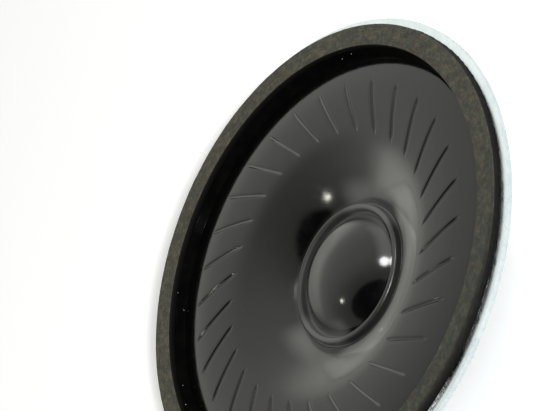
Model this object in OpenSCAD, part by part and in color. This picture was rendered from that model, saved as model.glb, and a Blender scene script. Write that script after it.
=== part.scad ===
// Miniature moving-coil loudspeaker with a round pressed-steel frame.
// Millimetres. +Z is the axis, towards the listener. The origin is the centre
// of the magnet cup's rear face, which the speaker lies on.

/* [Frame] */
// Outer diameter of the flange
flange_d = 50; // [49:0.1:52]
// Thickness of the sheet steel
sheet_t = 0.6; // [0.5:0.05:0.8]
// Width of the flange outside the bore of the frame's upright wall
flange_w = 3; // [2.8:0.05:3.2]
// Height of the frame's upright wall below the flange
wall_h = 1.5; // [1.2:0.1:2]
// Height from the frame floor's underside to the flange's underside
basket_h = 6; // [5.9:0.1:7]
// Outer diameter of the frame's flat floor
floor_d = 32.8; // [32:0.1:34]
// Number of places round the floor, one of them taken by the terminals
vent_places = 6; // [5:1:7]
// Radial width of one vent slot
vent_w = 3.2; // [2:0.1:3.8]
// Angle that one vent slot covers
vent_span = 34; // [20:1:40]

/* [Front gasket] */
// Width of the gasket's front face
gasket_w = 2.2; // [1.8:0.05:2.4]
// How far the gasket's bore stands inside the frame's wall, on each side
gasket_inset = 0.05; // [0:0.01:0.2]
// Thickness of the gasket
gasket_t = 0.77; // [0.6:0.01:1.2]
// How much wider the gasket's foot is than its face, on each side
gasket_flare = 0.2; // [0:0.05:0.3]

/* [Diaphragm] */
// Thickness of the moulded film
film_t = 0.12; // [0.08:0.01:0.2]
// How far the film's cut edge lies inside the gasket's outer edge
film_edge_inset = 0.15; // [0.1:0.01:0.4]
// How far the valley fold lies inside the frame's wall, on each side
valley_inset = 0.65; // [0.5:0.05:0.9]
// Depth of the valley fold below the film's rim
valley_depth = 0.92; // [0.7:0.02:1.1]
// Distance from the valley fold in to the crest of the film
crest_run = 4.25; // [3.8:0.05:4.6]
// Depth of the crest below the film's rim
crest_depth = 0.27; // [0.1:0.01:0.4]
// Diameter at which the grooved annulus ends and the cone begins
cone_d = 26.4; // [25.6:0.1:27]
// Depth of that edge below the film's rim
cone_depth = 0.68; // [0.5:0.01:0.9]
// Distance from the winding out to the cone's throat
throat_gap = 0.1; // [0.08:0.01:0.2]
// Depth of the throat below the film's rim
throat_depth = 4.3; // [4.1:0.02:4.4]
// Distance from the throat out to the middle of the cone's bend
bend_run = 1.94; // [1.6:0.02:2.4]
// Depth of the middle of the cone's bend below its outer edge
bend_depth = 1.94; // [1.6:0.02:2.1]
// Height of the folded lip above the throat
lip_h = 0.85; // [0.7:0.01:1]
// Height of the lip's rounded top
lip_round = 0.2; // [0.16:0.01:0.3]
// Depth of the dome's foot below the throat
dome_drop = 0.24; // [0:0.02:0.4]
// Rise of the dome above its foot
dome_h = 3.1; // [1.5:0.1:3.4]
// Number of grooves pressed into the annulus
groove_count = 30; // [24:1:36]
// Width of one groove
groove_w = 0.4; // [0.25:0.05:0.5]
// Depth of one groove
groove_h = 0.1; // [0.06:0.01:0.16]
// Turn from a groove's inner end to its outer end
groove_skew = 10.8; // [6:0.1:14]

/* [Voice coil] */
// Inner diameter of the coil former
former_bore_d = 13.24; // [13.2:0.02:13.3]
// Wall of the coil former
former_t = 0.1; // [0.06:0.01:0.12]
// Radial thickness of the winding
winding_t = 0.38; // [0.3:0.01:0.4]
// Height of the winding
winding_h = 2.4; // [2:0.1:2.8]
// Length of former below the winding
former_tail = 0.25; // [0.1:0.05:0.4]
// Diameter of a coil lead
lead_d = 0.16; // [0.1:0.02:0.2]

/* [Magnet] */
// Radial gap between the pole cap and the former
pole_gap = 0.2; // [0.15:0.01:0.25]
// Radial gap between the winding and the cup
cup_gap = 0.25; // [0.2:0.01:0.3]
// Wall of the magnet cup
cup_wall = 1.55; // [1.3:0.05:1.7]
// Floor of the magnet cup
cup_floor = 1.2; // [1:0.1:1.6]
// Thickness of the magnet
magnet_t = 2.4; // [2.2:0.1:3]
// How far the magnet's edge lies inside the pole cap's edge
magnet_inset = 0.42; // [0:0.02:1.4]
// Thickness of each bond under and over the magnet
bond_t = 0.05; // [0.03:0.01:0.1]
// Thickness of the pole cap
pole_t = 1.2; // [1:0.1:1.4]
// Width of the step on which the frame's floor seats
step_w = 0.3; // [0.2:0.05:0.4]
// Number of stakes that hold the frame on the cup
stake_count = 8; // [4:1:12]

/* [Terminals] */
// Width of the terminal board
board_w = 12; // [11:0.5:13]
// Length of the terminal board
board_l = 9.4; // [9.2:0.1:9.8]
// Thickness of the terminal board
board_t = 0.8; // [0.6:0.1:1.2]
// Distance from the axis to the board's inner edge
board_x = 10.6; // [10.4:0.1:11]
// Distance between the two lugs
lug_pitch = 6.8; // [6:0.1:7.4]
// Width of a lug
lug_w = 2.6; // [2.2:0.1:3]
// Thickness of a lug
lug_t = 0.3; // [0.2:0.05:0.5]
// How far a lug reaches beyond the board
lug_reach = 1.8; // [1.4:0.1:2]
// Diameter of the wire hole in a lug
lug_hole_d = 1.3; // [0.8:0.1:1.6]
// Bore of an eyelet or a tubular rivet
eyelet_bore_d = 1.1; // [0.8:0.1:1.2]
// Wall of an eyelet or a tubular rivet
eyelet_wall = 0.2; // [0.15:0.05:0.3]
// Width of the rolled flange of an eyelet
eyelet_flange = 0.4; // [0.3:0.05:0.5]
// Thickness of the rolled flange of an eyelet
eyelet_flange_t = 0.2; // [0.15:0.05:0.3]
// Distance between the two rivets of the board
rivet_pitch = 9; // [8.6:0.1:9.4]
// Height of a solder joint
solder_h = 0.55; // [0.4:0.05:0.8]

/* [Trim] */
// Thickness of the damping cloth over the vents
cloth_t = 0.25; // [0.15:0.05:0.4]
// Width of the glue bead outside the gasket
bead_w = 0.26; // [0.1:0.02:0.3]
// Height of the glue bead
bead_h = 0.28; // [0.15:0.01:0.4]

/* [Hidden] */
$fn = 96;
eps = 0.01;

// Heights, from the rear face upwards
magnet_z = cup_floor + bond_t;
pole_z = magnet_z + magnet_t + bond_t;
gap_top_z = pole_z + pole_t;
stake_t = 0.15;
floor_z = gap_top_z - stake_t - sheet_t;
flange_z = floor_z + basket_h;
seat_z = flange_z + sheet_t;
film_z = seat_z + film_t;
face_z = film_z + gasket_t;

// Radii of the motor, from the coil outwards and inwards
former_r = former_bore_d / 2;
winding_in_r = former_r + former_t;
winding_r = winding_in_r + winding_t;
pole_r = former_r - pole_gap;
cup_in_r = winding_r + cup_gap;
cup_r = cup_in_r + cup_wall;
neck_r = cup_r - step_w;
floor_fit = 0.02;

// Radii of the frame's bore, the gasket and the magnet
bore_r = flange_d / 2 - flange_w;
gasket_in_r = bore_r - gasket_inset;
gasket_r = gasket_in_r + gasket_w;
magnet_r = pole_r - magnet_inset;

// Film seen in section: [radius, height] of its front surface
film_fit = 0.1;
rim_r = bore_r - film_fit;
film_edge_r = gasket_r - film_edge_inset;
throat_r = winding_r + throat_gap;
throat_z = film_z - throat_depth;
lip_z = throat_z + lip_h;
lip_out_r = throat_r - 0.08;
lip_in_r = former_r - film_t - 0.03;
dome_r = lip_in_r - 0.14;
dome_z = throat_z - dome_drop;
dome_top_z = dome_z + dome_h;
crest_z = film_z - crest_depth;
cone_r = cone_d / 2;
cone_z = film_z - cone_depth;
valley_r = bore_r - valley_inset;
crest_r = valley_r - crest_run;
valley_z = film_z - valley_depth;

// A curve from a to c that leaves a and reaches c along the lines to b
function curve(a, b, c, n) =
    [for (i = [0:n]) let (t = i / n) (1 - t) * (1 - t) * a + 2 * t * (1 - t) * b + t * t * c];
function unit(v) = v / norm(v);
function left_of(v) = [-v[1], v[0]];
// One point of a line moved sideways by t, so that both neighbours shift alike
function moved(p, i, t) = let (
    before = i == 0 ? unit(p[1] - p[0]) : unit(p[i] - p[i - 1]),
    after = i == len(p) - 1 ? before : unit(p[i + 1] - p[i]),
    side = unit(left_of(before) + left_of(after)))
    p[i] + side * t / (side * left_of(before));
function beside(p, t) = [for (i = [0:len(p) - 1]) moved(p, i, t)];
function reversed(p) = [for (i = [len(p) - 1:-1:0]) p[i]];
function part_of(p, first, last) = [for (i = [first:last]) p[i]];

rim_line = [[film_edge_r, film_z], [rim_r, film_z]];
flank_line = curve([valley_r, valley_z], [(valley_r + crest_r) / 2, crest_z], [crest_r, crest_z], 5);
annulus_line = curve([crest_r, crest_z], [(crest_r + cone_r) / 2, crest_z], [cone_r, cone_z], 4);
trumpet_line = curve([cone_r, cone_z], [throat_r + bend_run, cone_z - bend_depth],
    [throat_r + 0.4, throat_z + 0.3], 10);
lip_half = (lip_out_r - lip_in_r) / 2;
lip_top = [for (a = [0:45:180])
    [lip_in_r + lip_half * (1 + cos(a)), lip_z - lip_round * (1 - sin(a))]];
lip_line = concat([[throat_r, throat_z]], lip_top, [[dome_r, dome_z]]);
dome_ball_r = (dome_r * dome_r + dome_h * dome_h) / (2 * dome_h);
dome_half = asin(dome_r / dome_ball_r);
dome_steps = 8;
dome_line = [for (i = [1:dome_steps]) let (a = dome_half * (1 - i / dome_steps))
    [dome_ball_r * sin(a), dome_top_z - dome_ball_r * (1 - cos(a))]];
surround_front = concat(rim_line, flank_line, part_of(annulus_line, 1, 4));
film_front = concat(surround_front, part_of(trumpet_line, 1, 10), lip_line, dome_line);
film_back = beside(film_front, film_t);
surround_last = len(surround_front) - 1;
film_last = len(film_front) - 1;

// The grooves run on the annulus between these radii
groove_in_r = cone_r + 0.2;
groove_out_r = crest_r + 1.8;
groove_start = 4.5;
groove_slab_z = [cone_z - 1, crest_z + 1];

// Frame sheet in section, its underside
wall_out_r = bore_r + sheet_t;
floor_hole_r = neck_r + floor_fit;
frame_line = [[flange_d / 2, flange_z], [wall_out_r + 0.25, flange_z], [wall_out_r, flange_z - 0.25],
    [wall_out_r, flange_z - wall_h + 0.2], [wall_out_r - 0.2, flange_z - wall_h - 0.12],
    [floor_d / 2 + 0.35, floor_z + 0.24], [floor_d / 2 - 0.2, floor_z], [floor_hole_r, floor_z]];
vent_mid_r = (neck_r + floor_d / 2) / 2 + 0.25;
vent_step = 360 / vent_places;

// Terminals stand on the -X side
board_top_z = floor_z;
board_z = board_top_z - board_t;
lug_z = board_z - lug_t;
rivet_x = board_x + 2.2;
eyelet_x = board_x + board_l - 2.6;
eyelet_r = eyelet_bore_d / 2 + eyelet_wall;
hole_fit = 0.05;
lead_x = board_x + 3.8;
lead_turn = 7;
lead_y = lead_x * sin(lead_turn);
lead_fit = 0.01;
lead_hole_d = 0.9;
slot_w = 1.4;
slot_l = 2 * lead_y + slot_w;
joint_r = 0.85;
joint_x = (lead_x + lead_hole_d / 2 + joint_r + 0.4) * cos(lead_turn);
joint_y = joint_x * tan(lead_turn);
lug_tip_x = board_x + board_l + lug_reach;
mark_r = 0.8;
mark_t = 0.05;
cloth_in_r = vent_mid_r - vent_w / 2 - 0.9;
cloth_out_r = vent_mid_r + vent_w / 2 + 0.9;
cloth_gap = 33;

// Coil
winding_mid_z = pole_z + pole_t / 2;
winding_z = winding_mid_z - winding_h / 2;
former_z = winding_z - former_tail;
former_top_z = lip_z - lip_round - 0.02;
glue_z = former_top_z - 0.5;

// A lead's route in its own radial plane, as [distance from the axis, height]
lead_low_z = lug_z - lead_d / 2 - 0.04;
lug_ring_w = 1;
lug_neck_w = 2.4;
lug_tail_w = 1.4;
lead_film = part_of(beside(trumpet_line, film_t + lead_d / 2 + 0.03), 2, 8);
lead_route = concat([[winding_r - lead_d, winding_z + winding_h + lead_d / 2],
    [throat_r - 0.2, throat_z - 0.26], [throat_r + 0.22, throat_z - 0.16]],
    reversed(lead_film),
    [[lead_x - 1.3, cone_z - 0.7], [lead_x - 0.4, cone_z - 1.9], [lead_x, floor_z + 2],
    [lead_x, board_z + 0.1], [lead_x + 0.2, lead_low_z], [joint_x / cos(lead_turn) + 0.2, lead_low_z]]);

module ring(out_r, in_r, z, h) {
    translate([0, 0, z]) difference() {
        cylinder(r = out_r, h = h);
        translate([0, 0, -1]) cylinder(r = in_r, h = h + 2);
    }
}

module disc(r, z, h) { translate([0, 0, z]) cylinder(r = r, h = h); }

// A round cord along a flat route of [x, z] points, swept as rings that mitre each bend
module cord(route, d, sides = 8) {
    rings = [for (i = [0:len(route) - 1]) for (k = [0:sides - 1]) let (
        p = moved(route, i, d / 2 * cos(360 * k / sides)))
        [p[0], d / 2 * sin(360 * k / sides), p[1]]];
    last = len(route) - 1;
    skin = [for (i = [0:last - 1]) for (k = [0:sides - 1]) let (
        a = i * sides + k, b = i * sides + (k + 1) % sides)
        each [[a, b, a + sides], [b, b + sides, a + sides]]];
    ends = [for (k = [1:sides - 2]) each [[0, k + 1, k],
        [last * sides, last * sides + k, last * sides + k + 1]]];
    polyhedron(rings, concat(skin, ends));
}

// A slot along an arc with round ends, cut through the floor
module arc_slot(mid_r, w, span, z, h) {
    translate([0, 0, z]) {
        rotate(-span / 2) rotate_extrude(angle = span) translate([mid_r - w / 2, 0]) square([w, h]);
        for (s = [-1, 1]) rotate(s * span / 2) translate([mid_r, 0, 0]) cylinder(d = w, h = h);
    }
}

module front_gasket() {
    color("#4a4642") rotate_extrude() polygon([[gasket_in_r, film_z],
        [gasket_r + gasket_flare, film_z], [gasket_r, face_z], [gasket_in_r, face_z]]);
}

module basket_frame() {
    color("#b9c3cc") difference() {
        rotate_extrude() polygon(concat(frame_line, reversed(beside(frame_line, -sheet_t))));
        for (i = [0:vent_places - 1]) if (abs(i * vent_step - 180) > vent_step / 2 + eps)
            rotate(i * vent_step) arc_slot(vent_mid_r, vent_w, vent_span, floor_z - 1, sheet_t + 2);
        translate([0, 0, floor_z - 1]) linear_extrude(sheet_t + 2) lead_slot(0);
        for (s = [-1, 1]) translate([-rivet_x, s * rivet_pitch / 2, floor_z - 1])
            cylinder(r = eyelet_r + hole_fit, h = sheet_t + 2);
    }
}

module rim_glue_bead() {
    foot_r = gasket_r + gasket_flare;
    color("#8d8674") rotate_extrude() polygon([[film_edge_r + 0.03, seat_z],
        [foot_r + bead_w, seat_z], [foot_r + 0.03, seat_z + bead_h],
        [foot_r + 0.03, film_z - 0.01], [film_edge_r + 0.03, film_z - 0.01]]);
}

// Upright slabs along the grooves, wider and longer by grow on every side
module groove_slabs(grow) {
    for (i = [0:groove_count - 1]) {
        a = groove_start + i * 360 / groove_count;
        inner = groove_in_r * [cos(a), sin(a)];
        outer = groove_out_r * [cos(a + groove_skew), sin(a + groove_skew)];
        run = outer - inner;
        translate([inner[0], inner[1], groove_slab_z[0]]) rotate(atan2(run[1], run[0]))
            translate([-grow, -groove_w / 2 - grow, 0])
                cube([norm(run) + 2 * grow, groove_w + 2 * grow, groove_slab_z[1] - groove_slab_z[0]]);
    }
}

// The layer of the annulus between two depths below its front surface
module annulus_layer(top, bottom) {
    line = part_of(film_front, len(rim_line), surround_last);
    rotate_extrude() polygon(concat(beside(line, top), reversed(beside(line, bottom))));
}

module diaphragm_surround() {
    front = part_of(film_front, 0, surround_last);
    back = part_of(film_back, 0, surround_last);
    color("#2c2c30") difference() {
        union() {
            rotate_extrude() polygon(concat(front, reversed(back)));
            intersection() {
                annulus_layer(film_t / 2, film_t + groove_h);
                groove_slabs(film_t);
            }
        }
        intersection() {
            annulus_layer(-film_t, groove_h);
            groove_slabs(0);
        }
    }
}

module diaphragm_cone() {
    front = part_of(film_front, surround_last, film_last);
    back = part_of(film_back, surround_last, film_last);
    color("#303034") rotate_extrude()
        polygon(concat(front, [[0, dome_top_z - film_t]], reversed(part_of(back, 0, len(back) - 2))));
}

module coil_former() { color("#b98a4a") ring(winding_in_r, former_r, former_z, former_top_z - former_z); }

module voice_coil() { color("#b5622e") ring(winding_r, winding_in_r, winding_z, winding_h); }

module coil_glue_ring() {
    color("#c9b98a") ring(winding_in_r + 0.2, winding_in_r, glue_z, former_top_z - glue_z);
}

// One lead from the winding along the film's back to its terminal, on the +Y side
module coil_lead() { color("#a5542a") rotate(180 - lead_turn) cord(lead_route, lead_d); }

module coil_lead_start() { coil_lead(); }

module coil_lead_finish() { mirror([0, 1, 0]) coil_lead(); }

// The oblong plan of the hole through which both leads leave the frame
module lead_slot(gap) {
    for (s = [-1, 1]) translate([-lead_x, s * (slot_l - slot_w) / 2]) circle(d = slot_w - 2 * gap);
    translate([-lead_x - slot_w / 2 + gap, -(slot_l - slot_w) / 2])
        square([slot_w - 2 * gap, slot_l - slot_w]);
}

module lead_seal() {
    color("#2b2622") difference() {
        translate([0, 0, board_top_z]) linear_extrude(sheet_t + 0.15) lead_slot(lead_fit);
        for (s = [-1, 1]) rotate(180 + s * lead_turn) translate([lead_x, 0, board_top_z - 1])
            cylinder(r = lead_d / 2 + lead_fit, h = sheet_t + 2);
    }
}

module yoke_cup() {
    color("#aab3ba") {
        difference() {
            union() {
                disc(cup_r, 0, floor_z);
                disc(neck_r, 0, gap_top_z);
            }
            translate([0, 0, cup_floor]) cylinder(r = cup_in_r, h = gap_top_z);
        }
        for (i = [0:stake_count - 1]) rotate((i + 0.5) * 360 / stake_count)
            translate([neck_r - 0.1, -0.4, gap_top_z - stake_t]) cube([0.35, 0.8, stake_t]);
    }
}

module magnet_bond() { color("#d7cda6") disc(magnet_r, cup_floor, bond_t); }

module magnet_disc() { color("#8f9499") disc(magnet_r, magnet_z, magnet_t); }

module pole_bond() { color("#d7cda6") disc(magnet_r, pole_z - bond_t, bond_t); }

module pole_cap() { color("#aab3ba") disc(pole_r, pole_z, pole_t); }

module damping_cloth() {
    color("#3a3a36") translate([0, 0, floor_z - cloth_t]) rotate(-180 + cloth_gap)
        rotate_extrude(angle = 360 - 2 * cloth_gap)
            translate([cloth_in_r, 0]) square([cloth_out_r - cloth_in_r, cloth_t]);
}

module terminal_board() {
    color("#8a5a2e") difference() {
        translate([-board_x - board_l, -board_w / 2, board_z]) cube([board_l, board_w, board_t]);
        for (s = [-1, 1]) {
            translate([-rivet_x, s * rivet_pitch / 2, board_z - 1])
                cylinder(r = eyelet_r + hole_fit, h = board_t + 2);
            translate([-eyelet_x, s * lug_pitch / 2, board_z - 1])
                cylinder(r = eyelet_r + hole_fit, h = board_t + 2);
            rotate(180 + s * lead_turn) translate([lead_x, 0, board_z - 1])
                cylinder(d = lead_hole_d, h = board_t + 2);
        }
    }
}

// A flat solder lug on the +Y side: a tail for the lead, an eyelet ring and a tongue for a wire
module lug() {
    y = lug_pitch / 2;
    tongue_x = lug_tip_x - lug_w / 2;
    color("#d8c78e") difference() {
        translate([0, 0, lug_z]) linear_extrude(lug_t) {
            translate([-eyelet_x, y]) circle(r = eyelet_r + lug_ring_w);
            translate([-tongue_x, y - lug_w / 2]) square([tongue_x - eyelet_x, lug_w]);
            translate([-tongue_x, y]) circle(d = lug_w);
            translate([-joint_x, joint_y]) circle(r = joint_r + 0.1);
            polygon([[-joint_x, joint_y - lug_tail_w / 2], [-joint_x, joint_y + lug_tail_w / 2],
                [-eyelet_x, y + lug_neck_w / 2], [-eyelet_x, y - lug_neck_w / 2]]);
        }
        translate([-eyelet_x, y, lug_z - 1]) cylinder(r = eyelet_r + hole_fit, h = lug_t + 2);
        translate([-tongue_x - 0.2, y, lug_z - 1]) cylinder(d = lug_hole_d, h = lug_t + 2);
    }
}

module terminal_lug_positive() { lug(); }

module terminal_lug_negative() { mirror([0, 1, 0]) lug(); }

// A tube with a flange at each end, gripping what lies between the heights low and high
module eyelet(low, high) {
    flange_r = eyelet_r + eyelet_flange;
    rotate_extrude() difference() {
        union() {
            translate([0, low - eyelet_flange_t]) square([eyelet_r, high - low + 2 * eyelet_flange_t]);
            translate([0, low - eyelet_flange_t]) square([flange_r, eyelet_flange_t]);
            translate([0, high]) square([flange_r, eyelet_flange_t]);
        }
        translate([0, low - 1]) square([eyelet_bore_d / 2, high - low + 2]);
    }
}

module lug_eyelets() {
    color("#c9b15f") for (s = [-1, 1]) translate([-eyelet_x, s * lug_pitch / 2, 0])
        eyelet(lug_z, board_top_z);
}

module board_rivets() {
    color("#c9b15f") for (s = [-1, 1]) translate([-rivet_x, s * rivet_pitch / 2, 0])
        eyelet(board_z, floor_z + sheet_t);
}

// A blob of solder over the lead's end, flat on the lug, on the +Y side
module solder_joint() {
    ball_r = (joint_r * joint_r + solder_h * solder_h) / (2 * solder_h);
    color("#c4c8cc") difference() {
        translate([-joint_x, joint_y, lug_z]) intersection() {
            translate([0, 0, ball_r - solder_h]) sphere(r = ball_r);
            translate([0, 0, -solder_h]) cylinder(r = joint_r + 0.1, h = solder_h);
        }
        rotate(180 - lead_turn) translate([lead_x, 0, lead_low_z]) rotate([0, 90, 0])
            cylinder(r = lead_d / 2 + lead_fit, h = joint_x / cos(lead_turn) + 0.22 - lead_x);
    }
}

module solder_joint_positive() { solder_joint(); }

module solder_joint_negative() { mirror([0, 1, 0]) solder_joint(); }

module polarity_mark() {
    color("#b3262a") translate([-rivet_x + 0.4, 2.4, board_z - mark_t]) cylinder(r = mark_r, h = mark_t);
}

front_gasket();
basket_frame();
rim_glue_bead();
diaphragm_surround();
diaphragm_cone();
coil_former();
voice_coil();
coil_glue_ring();
coil_lead_start();
coil_lead_finish();
lead_seal();
yoke_cup();
magnet_bond();
magnet_disc();
pole_bond();
pole_cap();
damping_cloth();
terminal_board();
terminal_lug_positive();
terminal_lug_negative();
lug_eyelets();
board_rivets();
solder_joint_positive();
solder_joint_negative();
polarity_mark();
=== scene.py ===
from math import acos, asin, atan2, cos, degrees, pi, radians, sin, sqrt, tan

import bmesh
import bpy
import numpy as np
from mathutils import Matrix, Vector, geometry, noise


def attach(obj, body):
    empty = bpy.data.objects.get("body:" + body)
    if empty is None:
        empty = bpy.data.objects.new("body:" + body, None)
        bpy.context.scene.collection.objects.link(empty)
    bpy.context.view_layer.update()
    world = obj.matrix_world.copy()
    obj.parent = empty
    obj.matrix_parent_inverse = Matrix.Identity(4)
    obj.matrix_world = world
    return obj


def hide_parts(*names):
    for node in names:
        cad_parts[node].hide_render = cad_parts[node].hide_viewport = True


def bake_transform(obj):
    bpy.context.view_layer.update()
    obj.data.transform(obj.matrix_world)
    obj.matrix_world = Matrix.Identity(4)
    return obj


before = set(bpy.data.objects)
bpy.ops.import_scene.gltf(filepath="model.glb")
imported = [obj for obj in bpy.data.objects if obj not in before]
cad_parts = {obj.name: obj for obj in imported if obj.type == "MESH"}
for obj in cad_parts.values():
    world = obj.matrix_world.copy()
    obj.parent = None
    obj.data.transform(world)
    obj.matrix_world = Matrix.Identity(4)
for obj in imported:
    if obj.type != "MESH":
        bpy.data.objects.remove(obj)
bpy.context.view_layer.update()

# Lengths are in millimetres, in the CAD frame, and become metres in the meshes.
# A pair of numbers for a turned shape is a radius and a height.
MM = 0.001
TAU = 2 * pi

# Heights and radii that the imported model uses
FACE_Z = 11.64
FILM_Z = 10.87
SEAT_Z = 10.75
FLANGE_Z = 10.15
FLOOR_Z = 4.15
CUP_TOP_Z = 4.9
SHEET_T = 0.6
FILM_T = 0.12
FLANGE_R = 25.0
WALL_MID_R = 22.3
GASKET_IN_R = 21.95
GASKET_R = 24.15
GASKET_FLARE = 0.07
FILM_EDGE_R = 24.0

# Section of the film
VALLEY = (21.35, 9.95)
CREST = (17.1, 10.60)
CONE_EDGE = (13.2, 10.19)
TRUMPET_BEND = (9.14, 8.25)
TRUMPET_END = (7.6, 6.87)
THROAT = (7.2, 6.57)
LIP_OUT_R = 7.12
LIP_IN_R = 6.47
LIP_CREST_R = (LIP_IN_R + LIP_OUT_R) / 2
LIP_TOP_Z = 7.44
LIP_ROUND = 0.3
DOME_R = 6.33
DOME_Z = 6.33
DOME_TOP_Z = 9.43
MOAT_Z = 6.60
SEAM_R = 19.0

# Grooves of the film, which start at GROOVE_START degrees and run GROOVE_SKEW degrees askew
GROOVE_COUNT = 30
GROOVE_START = 4.5
GROOVE_SKEW = 10.8
GROOVE_IN_R = 13.4
GROOVE_OUT_R = 18.9
GROOVE_HALF = 0.28
GROOVE_H = 0.13

# Coil, leads and the slot that they leave through
FORMER_IN_R = 6.62
FORMER_R = 6.72
FORMER_TOP_Z = 7.20
COIL_R = 7.10
LEAD_TURN = 7.0
LEAD_R = 0.08
LEAD_ROUTE = [(6.94, 5.58), (7.0, 6.31), (7.42, 6.41)]
LEAD_END = [(13.1, 9.49), (14.0, 8.29), (14.4, 6.15), (14.4, 5.2), (14.4, 4.2), (14.4, 3.45),
            (14.6, 2.93), (15.4, 2.93), (16.3, 2.93)]
SLOT_R = 14.4
SLOT_W = 1.4
SLOT_LENGTH = 4.91
SLOT_HALF = (SLOT_LENGTH - SLOT_W) / 2

# Places of the terminals in plan. Each has a twin at -y.
RIVET_X = -12.8
RIVET_Y = 4.5
EYELET_X = -17.4
LUG_Y = 3.4
LUG_END_X = -20.5
JOINT_X = -15.98
JOINT_Y = 1.962
HOLE_R = 0.80
BOARD_Z = 3.35
LUG_Z = 3.05

# Cloth over the vents, left open for CLOTH_GAP degrees each side of the board
VENT_MID_R = 12.75
CLOTH_IN_R = 10.25
CLOTH_OUT_R = 15.25
CLOTH_GAP = 33.0
CLOTH_T = 0.25


def direction(tilt, azimuth):
    """Unit vector, tilt degrees from +Z, turned azimuth degrees from +X."""
    t, a = radians(tilt), radians(azimuth)
    return Vector((sin(t) * cos(a), sin(t) * sin(a), cos(t)))


def linear(red, green, blue):
    """Screen values from 0 to 255 as linear light."""
    return tuple((v / 255 / 12.92) if v <= 10 else ((v / 255 + 0.055) / 1.055) ** 2.4
                 for v in (red, green, blue))


def new_object(name, data):
    obj = bpy.data.objects.new(name, data)
    bpy.context.scene.collection.objects.link(obj)
    return obj


class Graph:
    """The nodes of a material or of the world. A value is a number, a colour or a socket."""

    def __init__(self, tree, coordinates):
        self.tree = tree
        self.place = self.new("TexCoord").outputs[coordinates]

    def new(self, kind, inputs=None, **settings):
        node = self.tree.nodes.new("ShaderNode" + kind)
        for key, value in settings.items():
            setattr(node, key, value)
        for key, value in (inputs or {}).items():
            self.feed(node.inputs[key], value)
        return node

    def feed(self, socket, value):
        if isinstance(value, bpy.types.NodeSocket):
            self.tree.links.new(value, socket)
        elif value is not None:
            socket.default_value = value

    def calc(self, kind, a, b=None, clamp=False):
        return self.new("Math", {0: a, 1: b}, operation=kind, use_clamp=clamp).outputs[0]

    def times(self, value, *others):
        for other in others:
            value = self.calc("MULTIPLY", value, other)
        return value

    def plus(self, value, *others):
        for other in others:
            value = self.calc("ADD", value, other)
        return value

    def most(self, a, b):
        return self.calc("MAXIMUM", a, b)

    def vector(self, kind, a, b=None):
        return self.new("VectorMath", {0: a, 1: b}, operation=kind).outputs["Vector"]

    def dot(self, a, b):
        return self.new("VectorMath", {0: a, 1: b}, operation="DOT_PRODUCT").outputs["Value"]

    def parts(self, vector):
        return self.new("SeparateXYZ", {0: vector}).outputs

    def span(self, value, low, high, to_low=0.0, to_high=1.0):
        """Goes smoothly from to_low to to_high while the value goes from low to high."""
        limits = {"From Min": low, "From Max": high, "To Min": to_low, "To Max": to_high}
        node = self.new("MapRange", {"Value": value, **limits}, interpolation_type="SMOOTHSTEP")
        return node.outputs["Result"]

    def mix(self, share, a, b):
        """Colour a where share is 0 and colour b where it is 1."""
        a, b = ((*v, 1) if isinstance(v, tuple) else v for v in (a, b))
        return self.new("Mix", {0: share, 6: a, 7: b}, data_type="RGBA").outputs[2]

    def layers(self, tone, *over):
        """A tone with other tones laid over it in turn, each given after its share."""
        for share, colour in over:
            tone = self.mix(share, tone, colour)
        return tone


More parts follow.
